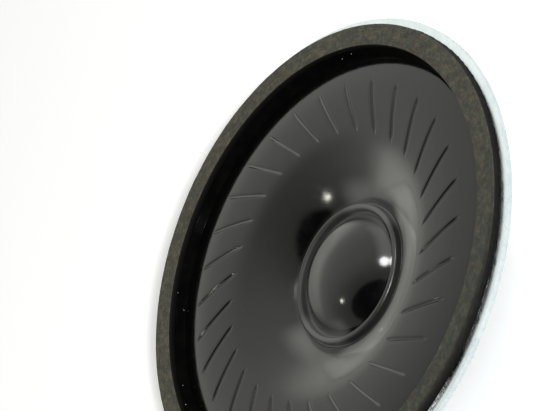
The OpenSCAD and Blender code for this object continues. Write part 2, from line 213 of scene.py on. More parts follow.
class Surface(Graph):
    """One material: a Principled shader with its colour, roughness and bump from noise."""

    def __init__(self, name, **fixed):
        self.material = bpy.data.materials.new(name)
        self.material.use_nodes = True
        super().__init__(self.material.node_tree, "Object")
        self.shader = self.tree.nodes["Principled BSDF"]
        for key, value in fixed.items():
            self.shader.inputs[key.replace("_", " ")].default_value = value

    def finish(self, colour, rough, *bumps):
        """Each bump is a height from 0 to 1, and how many mm it raises the surface at most."""
        self.feed(self.shader.inputs["Base Color"], colour)
        self.feed(self.shader.inputs["Roughness"], rough)
        normal = None
        for height, depth in bumps:
            node = self.new("Bump", {"Strength": 1.0, "Distance": depth * MM, "Height": height,
                                     "Normal": normal})
            normal = node.outputs[0]
        self.feed(self.shader.inputs["Normal"], normal)
        return self.material

    def noise(self, size, detail=4.0, rough=0.55, place=None, twist=0.0):
        """Noise from 0 to 1 with features of about size mm, or size units of a given place."""
        scale = 1 / size if place else 1 / (size * MM)
        node = self.new("TexNoise", {"Vector": place or self.place, "Scale": scale, "Detail": detail,
                                     "Roughness": rough, "Distortion": twist})
        return node.outputs[0]

    def varied(self, size, low=0.0, high=1.0, detail=4.0):
        """A number that drifts between low and high, with features of about size mm."""
        return self.span(self.noise(size, detail), 0.3, 0.7, low, high)

    def specks(self, cell, size, share):
        """1 inside round specks of radius size mm, one in that share of the cells of cell mm."""
        node = self.new("TexVoronoi", {"Vector": self.place, "Scale": 1 / (cell * MM)})
        inside = self.span(node.outputs["Distance"], size / cell * 0.6, size / cell, 1, 0)
        red = self.new("SeparateColor", {0: node.outputs["Color"]}).outputs[0]
        return self.times(inside, self.calc("LESS_THAN", red, share))

    def plan(self):
        return self.vector("MULTIPLY", self.place, (1, 1, 0))

    def radius(self):
        """Distance from the axis, in metres."""
        return self.new("VectorMath", {0: self.plan()}, operation="LENGTH").outputs["Value"]

    def polar(self, along, across):
        """Coordinates for streaks round the axis, along degrees long and across mm wide."""
        round_axis = self.new("VectorMath", {0: self.vector("NORMALIZE", self.plan()),
                                             "Scale": degrees(1) / along}, operation="SCALE")
        out = self.new("CombineXYZ", {"Z": self.calc("DIVIDE", self.radius(), across * MM)})
        return self.vector("ADD", round_axis.outputs["Vector"], out.outputs[0])

    def stretched(self, x, y, z, turn=0.0):
        """Coordinates in which features are x, y and z mm long, turned about the axis."""
        node = self.new("Mapping", {"Rotation": (0, 0, radians(turn)),
                                    "Scale": (x * MM, y * MM, z * MM),
                                    "Vector": self.place}, vector_type="TEXTURE")
        return node.outputs[0]

    def towards(self, azimuth, flat):
        """Cosine of the angle about the axis between a point and an azimuth. flat is radius()."""
        return self.calc("DIVIDE", self.dot(self.place, direction(90, azimuth)), flat)

    def band(self, flat, start, end):
        """1 from one radius to another. Each is the pair of radii in mm between which it fades."""
        rise = self.span(flat, start[0] * MM, start[1] * MM)
        return self.times(rise, self.span(flat, end[0] * MM, end[1] * MM, 1, 0))

    def groove_line(self, split, flat):
        """1 along the middle of each pressed groove of the film. It places painted light lines and
        added roughness.
        """
        bow = radians(4.24)
        fade = 0.6
        length = (GROOVE_OUT_R - GROOVE_IN_R) * MM
        run = self.calc("DIVIDE", self.calc("SUBTRACT", flat, GROOVE_IN_R * MM), length, clamp=True)
        turn = self.calc("ARCTAN2", split["Y"], split["X"])
        turn = self.calc("SUBTRACT", turn, self.times(run, radians(GROOVE_SKEW) + bow))
        step = TAU / GROOVE_COUNT
        shift = 2 * TAU + step / 2 - radians(GROOVE_START)
        turn = self.plus(turn, self.times(run, run, bow), shift)
        off = self.calc("SUBTRACT", self.calc("MODULO", turn, step), step / 2)
        off = self.times(self.calc("ABSOLUTE", off), flat)
        ends = self.band(flat, (GROOVE_IN_R, GROOVE_IN_R + fade), (GROOVE_OUT_R - fade, GROOVE_OUT_R))
        return self.times(self.span(off, 0.05 * MM, 0.17 * MM, 1, 0), ends)

    def upward(self):
        """How far the surface faces up, from -1 to 1."""
        return self.parts(self.new("NewGeometry").outputs["Normal"])["Z"]


# Camera, world, lamps and floor

def make_camera():
    data = bpy.data.cameras.new("camera")
    data.sensor_width = 36
    data.lens = 154.90
    data.clip_start = 0.01
    data.clip_end = 10
    camera = new_object("camera", data)
    right = (0.61609664, 0.23434491, -0.75200226)
    up = (0, 0.95471671, 0.2975164)
    back = (0.78767057, -0.18329885, 0.58819775)
    spot = (0.17620, -0.03739, 0.14925)
    rows = [(right[i], up[i], back[i], spot[i]) for i in range(3)]
    camera.matrix_world = Matrix([*rows, (0, 0, 0, 1)])
    bpy.context.scene.camera = camera


def make_world():
    """White all round, with one soft dark area above the near side of the object."""
    world = bpy.data.worlds.new("studio")
    bpy.context.scene.world = world
    world.use_nodes = True
    g = Graph(world.node_tree, "Generated")
    ray = g.new("LightPath").outputs
    dark_tilt, dark_azimuth, half_long, half_wide = 38, -49, 0.64, 0.42
    middle = direction(dark_tilt, dark_azimuth)
    wide = direction(dark_tilt + 90, dark_azimuth)
    along = g.calc("DIVIDE", g.dot(g.place, middle.cross(wide)), half_long)
    across = g.calc("DIVIDE", g.dot(g.place, wide), half_wide)
    reach = g.calc("SQRT", g.plus(g.times(along, along), g.times(across, across)))
    facing = g.calc("GREATER_THAN", g.dot(g.place, middle), 0)
    core = g.span(reach, 0.82, 1.12, 1, 0)
    halo = g.span(reach, 0.9, 2.3, 0.6, 0)
    dark = g.times(g.most(core, halo), facing)
    background = g.tree.nodes["Background"]
    g.feed(background.inputs["Color"], g.mix(dark, (1.0, 1.0, 0.94), (0.012, 0.013, 0.016)))

    # The light on the object is plain. The camera sees 1, and so do mirrors that look up.
    light, rest = 0.41, 0.59
    low = g.span(g.dot(g.place, (0, 0, 1)), 0.0, 0.40, 0.0, rest)
    mirrored = g.times(ray["Is Glossy Ray"], low)
    seen = g.calc("ADD", ray["Is Camera Ray"], ray["Is Transmission Ray"], clamp=True)
    g.feed(background.inputs["Strength"], g.plus(g.times(seen, rest), light, mirrored))


def make_lamp(name, tilt, azimuth, reach, size, radiance, colour=(1, 1, 1)):
    """A round soft lamp, reach metres from the film's middle and size metres across."""
    data = bpy.data.lights.new(name, "AREA")
    data.shape = "DISK"
    data.size = size
    data.energy = radiance * pi * pi * size * size / 4
    data.color = colour
    lamp = new_object(name, data)
    towards = direction(tilt, azimuth)
    lamp.location = Vector((0, 0, 8 * MM)) + towards * reach
    lamp.rotation_mode = "QUATERNION"
    lamp.rotation_quaternion = towards.to_track_quat("Z", "Y")


def make_floor():
    """A pale table top. Seen from below it lets the view through, and an opening under the cup
    lets the light from below reach the cup's underside. From above the cup covers the opening."""
    outside, opening, grey, glow_share = 2400, 8.45, 0.90, 0.29
    verts, faces = walls([at_height(circle(0, 0, r, 144), 0) for r in (outside, opening)])
    mesh = bpy.data.meshes.new("table_top")
    mesh.from_pydata([(x * MM, y * MM, z) for x, y, z in verts], [], faces)
    floor = new_object("table_top", mesh)
    floor.location.z = -0.02 * MM
    material = bpy.data.materials.new("table_white")
    material.use_nodes = True
    g = Graph(material.node_tree, "Object")
    g.tree.nodes.remove(g.tree.nodes["Principled BSDF"])
    plain = g.new("BsdfDiffuse", {"Color": (grey, grey, grey, 1)}).outputs[0]
    seen = g.times(g.new("LightPath").outputs["Is Camera Ray"], glow_share)
    glow = g.new("Emission", {"Strength": seen}).outputs[0]
    both = g.new("AddShader", {0: plain, 1: glow}).outputs[0]
    below = g.new("NewGeometry").outputs["Backfacing"]
    clear = g.new("BsdfTransparent").outputs[0]
    final = g.new("MixShader", {0: below, 1: both, 2: clear}).outputs[0]
    g.feed(g.tree.nodes["Material Output"].inputs["Surface"], final)
    mesh.materials.append(material)


# Materials

def film_painted_light(s, base, rough):
    """Colour and roughness of the film's middle, with painted sheen, a painted highlight on the lip,
    and painted light round the lip and in the grooves.
    """
    weight = s.new("LayerWeight", {"Blend": 0.5}).outputs["Facing"]
    flat = s.radius()
    split = s.parts(s.place)
    on_dome = s.calc("LESS_THAN", flat, 6.4 * MM)
    lip_in, lip_out = (6.15, 6.3), (7.3, 7.9)

    # Painted sheen where the film is seen at a low angle. Painted shade makes it weaker on one side
    # of the cone, and it is stronger on the other
    painted_sheen = s.plus(s.times(s.span(weight, 0.42, 0.98), on_dome),
                  s.times(s.span(weight, 0.38, 0.80), s.calc("SUBTRACT", 1.0, on_dome)))
    side = s.calc("DIVIDE", split["Y"], flat)
    less = s.times(s.span(side, -1.0, -0.5, 0.55, 1.0), s.span(side, 0.8, 1.0, 1.0, 1.35))
    middle = s.times(s.span(flat, 11.0 * MM, 15.0 * MM, 1, 0),
                     s.most(s.span(flat, lip_out[0] * MM, lip_out[1] * MM), on_dome))
    painted_sheen = s.times(painted_sheen, s.most(on_dome, less), middle)

    # Painted light: a highlight line along the lip's crest, light over the shade at the dome's foot
    # and round its edge in two places, a painted sheen on the lip, light over the dark throat above
    # and below the lip, and light lines in the grooves on two sides
    # Painted highlight: a thin light line along the top of the lip's crest
    away = s.calc("ABSOLUTE", s.calc("SUBTRACT", flat, LIP_CREST_R * MM))
    crest = s.times(s.span(away, 0.05 * MM, 0.14 * MM, 1, 0),
                    s.calc("GREATER_THAN", split["Z"], 7.2 * MM))
    # Painted light over the shade and dark reflection at the dome's foot, left out on the near side
    foot = s.times(s.span(flat, 4.6 * MM, 5.5 * MM), on_dome,
                   s.span(s.towards(-28, flat), 0.62, 0.80, 1, 0))
    # Painted sheen: a grey over the lip in place of its soft reflections. The same band also gets
    # more roughness
    lip = s.band(flat, lip_in, lip_out)
    # Painted light over the shade at the dome's edge, at the top and lower left
    ends = s.most(s.span(s.towards(232, flat), 0.45, 0.80), s.span(s.towards(92, flat), 0.55, 0.85))
    rim = s.times(s.band(flat, (5.5, 5.95), (6.22, 6.34)), ends)
    # Painted light over the dark shading of the throat, above and below the lip
    near = s.times(s.band(flat, lip_in, (8.0, 10.0)),
                   s.span(s.calc("ABSOLUTE", s.towards(77, flat)), 0.78, 0.95))
    groove = s.groove_line(split, flat)
    # Painted light lines along the grooves, only on the two sides where they catch the light
    lit = s.most(s.span(s.towards(138, flat), 0.60, 0.88), s.span(s.towards(-58, flat), 0.84, 0.95))
    base = s.layers(base, (painted_sheen, (0.44, 0.44, 0.425)), (crest, (0.025, 0.026, 0.025)),
                    (foot, (0.048, 0.049, 0.046)), (s.times(lip, 0.6), (0.022, 0.022, 0.021)),
                    (rim, (0.095, 0.095, 0.091)), (near, (0.075, 0.075, 0.072)),
                    (s.times(groove, lit), (0.07, 0.07, 0.066)))
    moat = s.band(flat, (6.15, 6.28), (6.5, 6.65))
    return base, s.plus(rough, s.times(lip, 0.22), s.times(moat, 0.4), s.times(groove, 0.12))


def film_material(name, with_painted_light=False, dusty=False):
    """Glossy black film. With painted light it gets the painted sheen and painted light of the film's
    middle. The dusty one has light specks and hardly mirrors at all.
    """
    s = Surface(name, IOR=1.04 if dusty else 1.55)
    base = s.mix(s.varied(1.6), (0.0012, 0.0013, 0.0014), (0.0028, 0.0027, 0.0025))
    rough = s.span(s.noise(0.8, detail=6), 0.25, 0.75, 0.10, 0.15)
    if with_painted_light:
        base, rough = film_painted_light(s, base, rough)
    if dusty:
        base = s.layers(base, (s.specks(0.9, 0.06, 0.20), (0.10, 0.10, 0.09)),
                        (s.specks(0.75, 0.07, 0.36), (0.42, 0.42, 0.39)),
                        (s.specks(0.37, 0.035, 0.25), (0.02, 0.02, 0.018)))
    else:
        base = s.mix(s.specks(1.1, 0.06, 0.02), base, (0.16, 0.15, 0.13))
    return s.finish(base, rough, (s.noise(2.6, detail=2), 0.010), (s.noise(0.16, detail=3), 0.0004))


def gasket_material():
    """Grey-brown fibre board with streaks round the ring, darker towards one side, with painted shade
    on its edges.
    """
    s = Surface("fibre_gasket", IOR=1.25)
    flat = s.radius()
    cloud = s.span(s.noise(0.7, detail=6, rough=0.85), 0.42, 0.58)
    patch = s.span(s.noise(0.6, detail=5, rough=0.7), 0.44, 0.6, 0, 0.6)
    streak = s.noise(1, detail=5, rough=0.65, place=s.polar(2.2, 0.16))
    fibre = s.noise(0.11, detail=4, rough=0.7, twist=1.5)
    near_side = s.towards(-38, flat)
    # Painted shade: the face darkens towards its outer edge on that side, where the rounded edge
    # turns away from the light
    outer = s.times(s.span(flat, (GASKET_R - 0.75) * MM, GASKET_R * MM, 0, 0.85),
                    s.span(near_side, 0.45, 0.95))
    face = s.layers(s.mix(cloud, linear(63, 69, 66), linear(97, 93, 77)),
                    (patch, linear(68, 62, 56)),
                    (s.span(streak, 0.35, 0.75, 0, 0.55), linear(44, 44, 38)),
                    (s.span(fibre, 0.56, 0.74, 0, 0.6), linear(122, 117, 98)),
                    (s.specks(1.6, 0.075, 0.22), linear(180, 176, 156)),
                    (s.span(near_side, -0.3, 0.9, 0, 0.36), linear(44, 50, 50)),
                    (outer, linear(16, 15, 14)))
    # The cut edge has a darker tone of its own, and painted shade deepens it to black towards its
    # foot
    height = s.span(s.parts(s.place)["Z"], (FACE_Z - 0.62) * MM, (FACE_Z - 0.05) * MM)
    side = s.mix(height, linear(0, 0, 0), linear(22, 19, 17))
    tone = s.mix(s.span(s.upward(), 0.35, 0.85), side, face)
    return s.finish(tone, s.varied(0.5, 0.62, 0.82), (streak, 0.022), (fibre, 0.016))


def metal_material(name, dark, light, rough, grain=(0.35, 2.4, 2.4), turn=35.0, scratch=0.004):
    """Plated sheet: cloudy colour, fine drawn streaks and a few darker spots."""
    s = Surface(name, Metallic=1.0)
    dark, light = linear(*dark), linear(*light)
    streak = s.noise(1, detail=5, rough=0.6, place=s.stretched(*grain, turn))
    both = s.plus(s.times(streak, 0.6), s.times(s.noise(1.7), 0.4))
    spot = tuple(0.45 * v for v in dark)
    tone = s.layers(s.mix(s.span(both, 0.38, 0.62), dark, light), (s.specks(1.4, 0.09, 0.12), spot))
    return s.finish(tone, s.span(streak, 0.3, 0.7, rough - 0.07, rough + 0.09), (streak, scratch))


def glue_material(name, dark, light):
    s = Surface(name, IOR=1.5)
    tone = s.mix(s.span(s.noise(0.7), 0.35, 0.65), linear(*dark), linear(*light))
    return s.finish(tone, s.varied(0.3, 0.12, 0.3), (s.noise(0.25, detail=3), 0.03))


def rim_glue_material():
    """Adhesive that is nearly black, and clear with fine bubbles along one stretch of the rim, where
    its light grey is painted light from the bright flange seen through it.
    """
    s = Surface("rim_adhesive", IOR=1.25)
    black = s.mix(s.noise(0.5), (0.001, 0.001, 0.001), (0.003, 0.003, 0.003))
    # Painted light: the clear stretch is coloured light grey for the bright flange seen through the
    # glue
    clear = s.mix(s.span(s.noise(0.16, detail=5), 0.4, 0.62), linear(105, 106, 104),
                  linear(215, 218, 215))
    patch = s.plus(s.towards(-90, s.radius()), s.times(s.noise(3.0), 0.25))
    tone = s.mix(s.span(patch, 0.52, 0.72), black, clear)
    return s.finish(tone, s.varied(0.3, 0.1, 0.3), (s.noise(0.2), 0.03))


def board_material():
    s = Surface("lug_board_paper", IOR=1.5)
    fibre = s.noise(1, detail=5, place=s.stretched(1.6, 0.12, 0.12, 4))
    tone = s.layers(s.mix(s.span(fibre, 0.3, 0.7), linear(112, 70, 36), linear(152, 100, 56)),
                    (s.span(s.noise(0.22, detail=5), 0.58, 0.74, 0, 0.6), linear(84, 50, 26)))
    return s.finish(tone, s.span(fibre, 0.3, 0.7, 0.34, 0.5), (fibre, 0.012))


def cloth_material():
    """Open plain weave: two crossing sets of threads with fuzz."""
    s = Surface("vent_cloth", Sheen_Weight=0.35, Sheen_Roughness=0.5)
    pitch = 0.34
    wave = {"Scale": 1 / (pitch * MM) / pi, "Distortion": 0.7, "Detail": 1,
            "Detail Scale": 0.6, "Vector": s.place}
    threads = [s.new("TexWave", wave, bands_direction=axis).outputs[1] for axis in ("X", "Y")]
    weave = s.times(s.plus(*threads), 0.5)
    fuzz = s.noise(0.05, detail=4, rough=0.7)
    tone = s.layers(s.mix(s.span(weave, 0.2, 0.8), linear(24, 24, 22), linear(64, 63, 57)),
                    (s.span(fuzz, 0.5, 0.75, 0, 0.5), linear(96, 94, 86)))
    return s.finish(tone, s.span(fuzz, 0.3, 0.7, 0.8, 0.95), (weave, 0.07), (fuzz, 0.02))


def enamel_material(name, dark, light):
    s = Surface(name, Metallic=0.85, Coat_Weight=0.6, Coat_Roughness=0.12)
    tone = s.mix(s.varied(0.35), linear(*dark), linear(*light))
    return s.finish(tone, s.varied(0.2, 0.24, 0.38), (s.noise(0.15), 0.004))


def coat_material(name, dark, light, rough, depth=0.01, size=0.4):
    """A plain lacquered or moulded surface with slight clouds and grain."""
    s = Surface(name, IOR=1.5)
    tone = s.mix(s.varied(size, detail=5), linear(*dark), linear(*light))
    return s.finish(tone, s.varied(size * 0.6, rough - 0.08, rough + 0.08),
                    (s.noise(size * 0.5), depth))


def make_materials():
    """Every material by a short name. Colours are a dark and a light screen tone."""
    metals = {
        "zinc": ("zinc_plate", (225, 237, 241), (238, 248, 250), 0.30),
        "yoke": ("cup_plate", (168, 178, 182), (206, 214, 216), 0.34, (0.35, 2.4, 2.4), 0),
        "magnet": ("magnet_nickel", (150, 148, 142), (188, 186, 178), 0.30),
        "lug": ("lug_tin", (190, 180, 150), (226, 218, 192), 0.28, (0.2, 1.2, 1.2), 90),
        "eyelet": ("eyelet_brass", (186, 160, 92), (222, 200, 132), 0.26, (0.3, 0.3, 0.9), 0),
        "solder": ("solder_grey", (156, 160, 164), (204, 208, 210), 0.30, (0.4, 0.4, 0.4), 0, 0.02)}
    m = {key: metal_material(*values) for key, values in metals.items()}
    m["film"] = film_material("film_black", with_painted_light=True)
    m["flank"] = film_material("film_flank")
    m["wall"] = film_material("film_black_dusty", dusty=True)
    m["gasket"] = gasket_material()
    m["glue"] = glue_material("bond_amber", (176, 160, 112), (206, 192, 146))
    m["rim"] = rim_glue_material()
    m["former"] = coat_material("former_amber", (150, 92, 38), (188, 122, 58), 0.28)
    m["winding"] = enamel_material("winding_enamel", (150, 72, 34), (196, 104, 54))
    m["lead"] = enamel_material("lead_enamel", (140, 66, 30), (186, 96, 50))
    m["seal"] = glue_material("slot_seal_dark", (34, 28, 24), (52, 44, 38))
    m["board"] = board_material()
    m["cloth"] = cloth_material()
    m["mark"] = coat_material("mark_red", (164, 26, 30), (196, 44, 44), 0.4, 0.02, 0.2)
    return m


# Outlines

def quadratic(a, b, c, n):
    """n + 1 points of the curve from a to c that leaves and arrives along the lines to b."""
    a, b, c = (np.array(p, float) for p in (a, b, c))
    return [(1 - t) ** 2 * a + 2 * t * (1 - t) * b + t * t * c for t in np.linspace(0, 1, n + 1)]


def rounded(points, radii, closed=True, steps=5):
    """A polyline whose corners are replaced with arcs of the given radii."""
    points = [np.array(p, float) for p in points]
    count = len(points)
    radii = [radii] * count if isinstance(radii, (int, float)) else list(radii)
    out = []
    for i, p in enumerate(points):
        if (not closed and i in (0, count - 1)) or radii[i] <= 0:
            out.append(p)
            continue
        before, after = points[i - 1] - p, points[(i + 1) % count] - p
        len_a, len_b = np.linalg.norm(before), np.linalg.norm(after)
        u, v = before / len_a, after / len_b
        half = acos(max(-1.0, min(1.0, float(u @ v)))) / 2
        reach = min(radii[i] / tan(half), 0.49 * len_a, 0.49 * len_b)
        radius = reach * tan(half)
        centre = p + (u + v) / np.linalg.norm(u + v) * radius / sin(half)
        start, end = p + u * reach - centre, p + v * reach - centre
        turn = atan2(start[0] * end[1] - start[1] * end[0], float(start @ end))
        out += arc(*centre, radius, atan2(start[1], start[0]), turn, steps)
    return out


def beside(points, distance, closed=False):
    """A polyline moved to its left by distance, corners mitred."""
    p = np.array(points, float)
    step = np.roll(p, -1, 0) - p
    if not closed:
        step[-1] = step[-2]
    step /= np.linalg.norm(step, axis=1)[:, None]
    left = np.stack([-step[:, 1], step[:, 0]], 1)
    before = np.roll(left, 1, 0)
    if not closed:
        before[0] = left[0]
    side = left + before
    side /= np.linalg.norm(side, axis=1)[:, None]
    reach = np.maximum(np.einsum("ij,ij->i", side, left), 0.5)
    return p + side * (distance / reach)[:, None]


def divided(points, length):
    """A polyline with points put in, which are about length apart."""
    out = []
    for a, b in zip(points, points[1:]):
        a, b = np.array(a, float), np.array(b, float)
        pieces = max(1, int(np.linalg.norm(b - a) / length))
        out += [a + (b - a) * k / pieces for k in range(pieces)]
    return [*out, np.array(points[-1], float)]


def box(low_x, low_y, high_x, high_y):
    return [(low_x, low_y), (high_x, low_y), (high_x, high_y), (low_x, high_y)]


def arc(x, y, r, first, sweep, steps):
    """steps + 1 points of an arc. Its angles are in radians."""
    turns = [first + sweep * k / steps for k in range(steps + 1)]
    return [(x + r * cos(a), y + r * sin(a)) for a in turns]


def circle(x, y, r, n):
    return arc(x, y, r, 0, TAU, n)[:-1]


def arc_slot(mid_r, width, span, middle):
    """Outline of a slot along an arc about the axis, with round ends. Angles are in degrees."""
    out = []
    for sign in (1, -1):
        first, sweep = radians(middle - sign * span / 2), radians(sign * span)
        end = first + sweep
        cap = arc(mid_r * cos(end), mid_r * sin(end), width / 2,
                  end if sign > 0 else end + pi, pi, 10)
        out += arc(0, 0, mid_r + sign * width / 2, first, sweep, 16) + cap[1:-1]
    return out


def oblong(x, half_length, width):
    """Outline of a straight slot along y with round ends."""
    return [*arc(x, half_length, width / 2, 0, pi, 12),
            *arc(x, -half_length, width / 2, pi, pi, 12)]


def grown(loop, distance):
    """A closed counterclockwise outline moved outwards by distance."""
    return beside(loop, -distance, closed=True)


def union_outline(shapes):
    """The outer outline of overlapping closed outlines, counterclockwise."""
    points, faces = [], []
    for shape in shapes:
        faces.append(list(range(len(points), len(points) + len(shape))))
        points += [Vector(p) for p in shape]
    got = geometry.delaunay_2d_cdt(points, [], faces, 1, 1e-5)
    verts, tris = got[0], got[2]
    directed = {(f[k], f[(k + 1) % len(f)]) for f in tris for k in range(len(f))}
    following = {a: b for a, b in directed if (b, a) not in directed}
    start = min(following, key=lambda i: verts[i].x)
    loop, at = [start], following[start]
    while at != start:
        loop.append(at)
        at = following[at]
    return [tuple(verts[i]) for i in loop]


# Meshes. Each is a pair of lists: points in mm, and faces as lists of point numbers.

def make_object(name, verts, faces, material, sharp):
    """A mesh object: welded, faces turned outwards, smooth up to the sharp angle in degrees."""
    mesh = bpy.data.meshes.new(name)
    mesh.from_pydata([tuple(float(c) * MM for c in v) for v in verts], [], [tuple(f) for f in faces])
    work = bmesh.new()
    work.from_mesh(mesh)
    bmesh.ops.remove_doubles(work, verts=work.verts, dist=1e-7)
    bmesh.ops.recalc_face_normals(work, faces=work.faces)
    work.to_mesh(mesh)
    work.free()
    mesh.shade_smooth()
    mesh.set_sharp_from_angle(angle=radians(sharp))
    mesh.materials.append(material)
    return new_object(name, mesh)


def piece(name, mesh, finish, sharp, body, *nodes):
    """A piece in place of CAD nodes, in one of the materials. It rides on a body, or body is None and
    it is left unattached."""
    obj = make_object(name, *mesh, materials[finish], sharp)
    if body:
        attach(obj, body)
    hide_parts(*nodes)
    return obj


def ribbon(ring_a, ring_b):
    """Faces between two rings of as many points."""
    n = len(ring_a)
    return [[ring_a[k], ring_a[(k + 1) % n], ring_b[(k + 1) % n], ring_b[k]] for k in range(n)]


def turned(outline, columns, shape=None, centre=(0, 0)):
    """An outline of (radius, height) turned about an upright axis. It is closed, or it starts
    and ends on the axis. shape may move a point: it takes and gives radius and height."""
    verts, rows = [], []
    tiny = 1e-6
    on_axis = outline[0][0] < tiny and outline[-1][0] < tiny
    for r, z in outline:
        if r < tiny:
            rows.append([len(verts)] * columns)
            verts.append((*centre, z))
            continue
        rows.append(list(range(len(verts), len(verts) + columns)))
        for k in range(columns):
            a = TAU * k / columns
            rr, zz = shape(r, z, a) if shape else (r, z)
            verts.append((centre[0] + rr * cos(a), centre[1] + rr * sin(a), zz))
    following = rows[1:] if on_axis else rows[1:] + rows[:1]
    faces = [face for low, high in zip(rows, following) for face in ribbon(low, high)]
    return verts, [[v for j, v in enumerate(face) if v != face[j - 1]] for face in faces]


def joined(*parts):
    """Several meshes as one."""
    verts, faces = [], []
    for part_verts, part_faces in parts:
        base = len(verts)
        verts += list(part_verts)
        faces += [[v + base for v in f] for f in part_faces]
    return verts, faces


def inside(point, loop):
    x, y = point
    hit = False
    for i in range(len(loop)):
        (x1, y1), (x2, y2) = loop[i - 1], loop[i]
        if (y1 > y) != (y2 > y) and x < (x2 - x1) * (y - y1) / (y2 - y1) + x1:
            hit = not hit
    return hit


def sheet_faces(outer, holes, z):
    """A flat face with holes at height z, as triangles."""
    points, edges = [], []
    for loop in [outer, *holes]:
        base = len(points)
        points += [Vector(p) for p in loop]
        edges += [(base + k, base + (k + 1) % len(loop)) for k in range(len(loop))]
    got = geometry.delaunay_2d_cdt(points, edges, [], 0, 1e-7)
    verts, tris = got[0], got[2]
    keep = []
    for tri in tris:
        middle = sum((verts[i] for i in tri), Vector((0, 0))) / 3
        if inside(middle, outer) and not any(inside(middle, h) for h in holes):
            keep.append(list(tri))
    return [(v.x, v.y, z) for v in verts], keep


def at_height(loop, z):
    return [(x, y, z) for x, y in loop]


def walls(rings):
    """Faces between stacked loops, each a list of (x, y, z) with as many points."""
    count = len(rings[0])
    rows = [range(i * count, (i + 1) * count) for i in range(len(rings))]
    faces = [face for low, high in zip(rows, rows[1:]) for face in ribbon(low, high)]
    return [p for ring in rings for p in ring], faces


def plate(outer, holes, low, high, bevel=0.04, edge=None, rim=True):
    """A plate with holes whose edges are all bevelled. edge is the outer edge's own bevel."""
    edge = bevel if edge is None else edge
    small = grown(outer, -edge) if rim else outer
    wide = [grown(h, bevel) for h in holes]
    parts = [sheet_faces(small, wide, z) for z in (low, high)]
    for hole, big in zip(holes, wide):
        parts.append(walls([at_height(big, low), at_height(hole, low + bevel),
                            at_height(hole, high - bevel), at_height(big, high)]))
    if rim:
        soft = grown(outer, -edge * 0.3)
        parts.append(walls([at_height(small, low), at_height(soft, low + edge * 0.3),
                            at_height(outer, low + edge), at_height(outer, high - edge),
                            at_height(soft, high - edge * 0.3), at_height(small, high)]))
    return joined(*parts)


def tube(path, radius, sides):
    """A closed round tube along 3-D points."""
    p = [Vector(q) for q in path]
    rings = []
    side = None
    for i, q in enumerate(p):
        ahead = (p[min(i + 1, len(p) - 1)] - p[max(i - 1, 0)]).normalized()
        if side is None:
            side = ahead.orthogonal().normalized()
        side = (side - ahead * side.dot(ahead)).normalized()
        other = ahead.cross(side)
        turns = [TAU * k / sides for k in range(sides)]
        rings.append([tuple(q + (side * cos(a) + other * sin(a)) * radius) for a in turns])
    verts, faces = walls(rings)
    ends = [list(range(first, first + sides)) for first in (0, len(verts) - sides)]
    return verts, faces + ends


def smooth_path(points, steps=6):
    """A smooth line through all points."""
    p = [Vector(q) for q in points]
    out = []
    for i in range(len(p) - 1):
        a, b, c, d = p[max(i - 1, 0)], p[i], p[i + 1], p[min(i + 2, len(p) - 1)]
        for k in range(steps):
            t = k / steps
            out.append(0.5 * (2 * b + (c - a) * t + (2 * a - 5 * b + 4 * c - d) * t * t
                              + (3 * b - a - 3 * c + d) * t ** 3))
    out.append(p[-1])
    return out


def wobble(x, y, z, size, seed=0.0):
    """Smooth noise from about -1 to 1 with features of that size in mm."""
    return noise.noise(Vector((x / size + seed, y / size - seed, z / size + 2.7 * seed)))


def eased(share):
    """A share from 0 to 1 that starts and stops gently."""
    return share * share * (3 - 2 * share)


# Film

def film_line(radii):
    """Points of the film's front between throat and valley, with the bend at the cone eased."""
    crest_z, fine = CREST[1], 60
    line = quadratic(VALLEY, ((VALLEY[0] + CREST[0]) / 2, crest_z), CREST, fine)
    line += quadratic(CREST, ((CREST[0] + CONE_EDGE[0]) / 2, crest_z), CONE_EDGE, fine)[1:]
    line += quadratic(CONE_EDGE, TRUMPET_BEND, TRUMPET_END, fine)[1:]
    line = np.array(line)[::-1]
    known = np.linspace(TRUMPET_END[0], VALLEY[0], 1600)
    heights = np.interp(known, line[:, 0], line[:, 1])
    reach = int(1.5 / (known[1] - known[0]))
    kernel = np.cos(np.linspace(-1, 1, 2 * reach + 1) * pi / 2) ** 2
    kernel /= kernel.sum()
    soft = heights.copy()
    soft[reach:-reach] = np.convolve(heights, kernel, "valid")
    from_r, to_r, fade = 10.5, 17.2, 1.2
    share = np.clip((known - from_r) / fade, 0, 1) * np.clip((to_r - known) / fade, 0, 1)
    share = eased(share)
    heights = heights * (1 - share) + soft * share
    return [(r, float(np.interp(r, known, heights))) for r in radii]


def groove_ends(start):
    """Plan points of both ends of a groove that starts at an angle in radians."""
    end = start + radians(GROOVE_SKEW)
    return [np.array([r * cos(a), r * sin(a)])
            for r, a in ((GROOVE_IN_R, start), (GROOVE_OUT_R, end))]


def groove_shape(x, y):
    """Height of the pressed grooves at plan points, apart from the film's own height."""
    height = np.zeros_like(x)
    for i in range(GROOVE_COUNT):
        first, last = groove_ends(radians(GROOVE_START + i * 360 / GROOVE_COUNT))
        length = np.linalg.norm(last - first)
        run = (last - first) / length
        along = (x - first[0]) * run[0] + (y - first[1]) * run[1]
        across = -(x - first[0]) * run[1] + (y - first[1]) * run[0]
        fade = eased(np.clip(np.minimum(along, length - along) / 0.9, 0, 1))
        half = GROOVE_HALF * (0.55 + 0.45 * fade)
        bump = -GROOVE_H * fade * 0.5 * (1 + np.cos(pi * across / half))
        height += np.where(np.abs(across) < half, bump, 0)
    return height


def groove_angle(r):
    """Angle, from a groove's inner end, at which its middle line crosses radius r."""
    r = min(max(r, GROOVE_IN_R), GROOVE_OUT_R)
    first, last = groove_ends(0.0)
    run = last - first
    qa, qb, qc = run @ run, 2 * first @ run, first @ first - r * r
    t = (-qb + sqrt(max(qb * qb - 4 * qa * qc, 0))) / (2 * qa)
    p = first + run * t
    return atan2(p[1], p[0])


